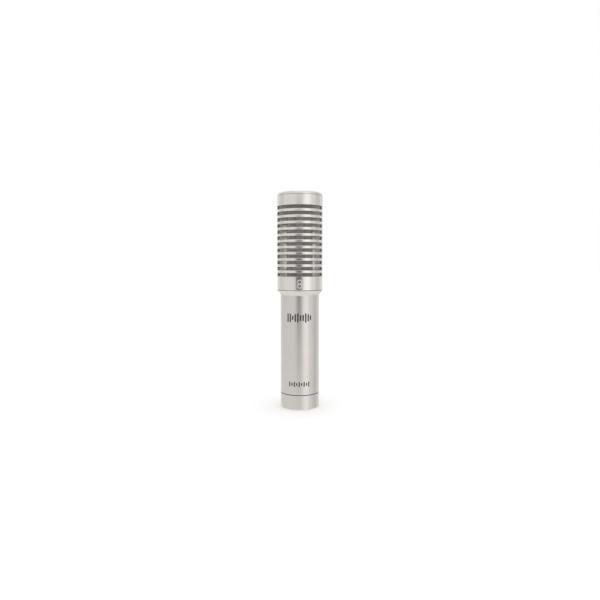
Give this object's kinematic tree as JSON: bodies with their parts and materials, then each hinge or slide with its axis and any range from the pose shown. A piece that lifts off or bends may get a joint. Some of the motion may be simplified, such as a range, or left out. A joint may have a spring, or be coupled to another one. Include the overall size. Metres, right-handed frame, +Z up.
{
  "type": "ribbon microphone",
  "caption": "Slim side-address ribbon microphone: slotted metal head over a woven screen, plain tube body, screw-on base ring and a recessed balanced-line connector.",
  "frame": {"origin": "centre of the base ring's bottom face, which the microphone stands on", "axes": "+Z up along the tube towards the head; -Y is the front, where the pattern mark is; +X is to the right seen from the front"},
  "size_m": [0.042, 0.042, 0.1976],
  "materials": {
    "satin_nickel": "satin nickel plate, finely bead blasted",
    "bright_nickel": "satin nickel plate with a turned grain",
    "screen_wire": "woven steel wire, dull",
    "zinc_steel": "bright zinc plate",
    "turned_aluminium": "as turned",
    "black_plastic": "moulded, satin",
    "contact_silver": "silver plated brass",
    "soft_iron": "ground, dark oiled",
    "magnet": "nickel plated sintered magnet",
    "foil": "bright corrugated foil",
    "phenolic": "paper laminate",
    "rubber": "moulded, matte",
    "nylon": "moulded",
    "lamination": "stacked steel sheet, varnished",
    "copper": "enamelled copper wire",
    "red_wire": "insulated lead",
    "white_wire": "insulated lead",
    "blue_wire": "insulated lead",
    "black_wire": "insulated lead",
    "green_wire": "insulated lead"
  },
  "bodies": {
    "housing": {"blast_screen_front": "screen_wire", "blast_screen_rear": "screen_wire", "body_tube": "satin_nickel", "connector_carrier": "turned_aluminium", "connector_insert": "black_plastic", "contact_pin_1": "contact_silver", "contact_pin_2": "contact_silver", "contact_pin_3": "contact_silver", "frame_screw_left": "zinc_steel", "frame_screw_right": "zinc_steel", "grille_tube": "bright_nickel", "grommet_front": "rubber", "grommet_rear": "rubber", "grommet_screw_front": "zinc_steel", "grommet_screw_rear": "zinc_steel", "ground_lead": "green_wire", "head_flange": "turned_aluminium", "head_screw_left": "zinc_steel", "head_screw_right": "zinc_steel", "insert_lock_screw": "zinc_steel", "magnet_left": "magnet", "magnet_right": "magnet", "mesh_sleeve": "screen_wire", "motor_base_plate": "zinc_steel", "motor_frame": "soft_iron", "output_lead_cold": "black_wire", "output_lead_hot": "blue_wire", "pole_piece_left": "soft_iron", "pole_piece_right": "soft_iron", "primary_winding": "copper", "rail_left": "zinc_steel", "rail_right": "zinc_steel", "rail_screw_left_bottom": "zinc_steel", "rail_screw_left_top": "zinc_steel", "rail_screw_right_bottom": "zinc_steel", "rail_screw_right_top": "zinc_steel", "ribbon_clamp_bar_bottom": "contact_silver", "ribbon_clamp_bar_top": "contact_silver", "ribbon_clamp_block_bottom": "phenolic", "ribbon_clamp_block_top": "phenolic", "ribbon_clamp_screw_bottom_left": "zinc_steel", "ribbon_clamp_screw_bottom_right": "zinc_steel", "ribbon_clamp_screw_top_left": "zinc_steel", "ribbon_clamp_screw_top_right": "zinc_steel", "ribbon_lead_bottom": "white_wire", "ribbon_lead_top": "red_wire", "secondary_winding": "copper", "strap_screw_left": "zinc_steel", "strap_screw_right": "zinc_steel", "top_cap": "bright_nickel", "transformer_bobbin": "black_plastic", "transformer_core": "lamination", "transformer_strap": "zinc_steel"},
    "base_washer": {"ring_washer": "nylon"},
    "base_ring": {"base_ring": "satin_nickel"},
    "ribbon": {"ribbon": "foil"}
  },
  "joints": [
    {"name": "base_ring_travel", "type": "slide", "parent": "housing", "child": "base_washer", "axis": [0, 0, -1], "range_m": [0, 0.007]},
    {"name": "base_ring_turn", "type": "hinge", "parent": "base_washer", "child": "base_ring", "pos_m": [0, 0, 0.007], "axis": [0, 0, -1], "range_deg": [0, 2520]},
    {"name": "ribbon_swing", "type": "slide", "parent": "housing", "child": "ribbon", "axis": [0, 1, 0], "range_m": [-0.0004, 0.0004], "stiffness_N_per_m": 5.5}
  ],
  "couplings": [
    {"joint": "base_ring_travel", "follows": "base_ring_turn", "m_per_rad": 0.00015915}
  ]
}
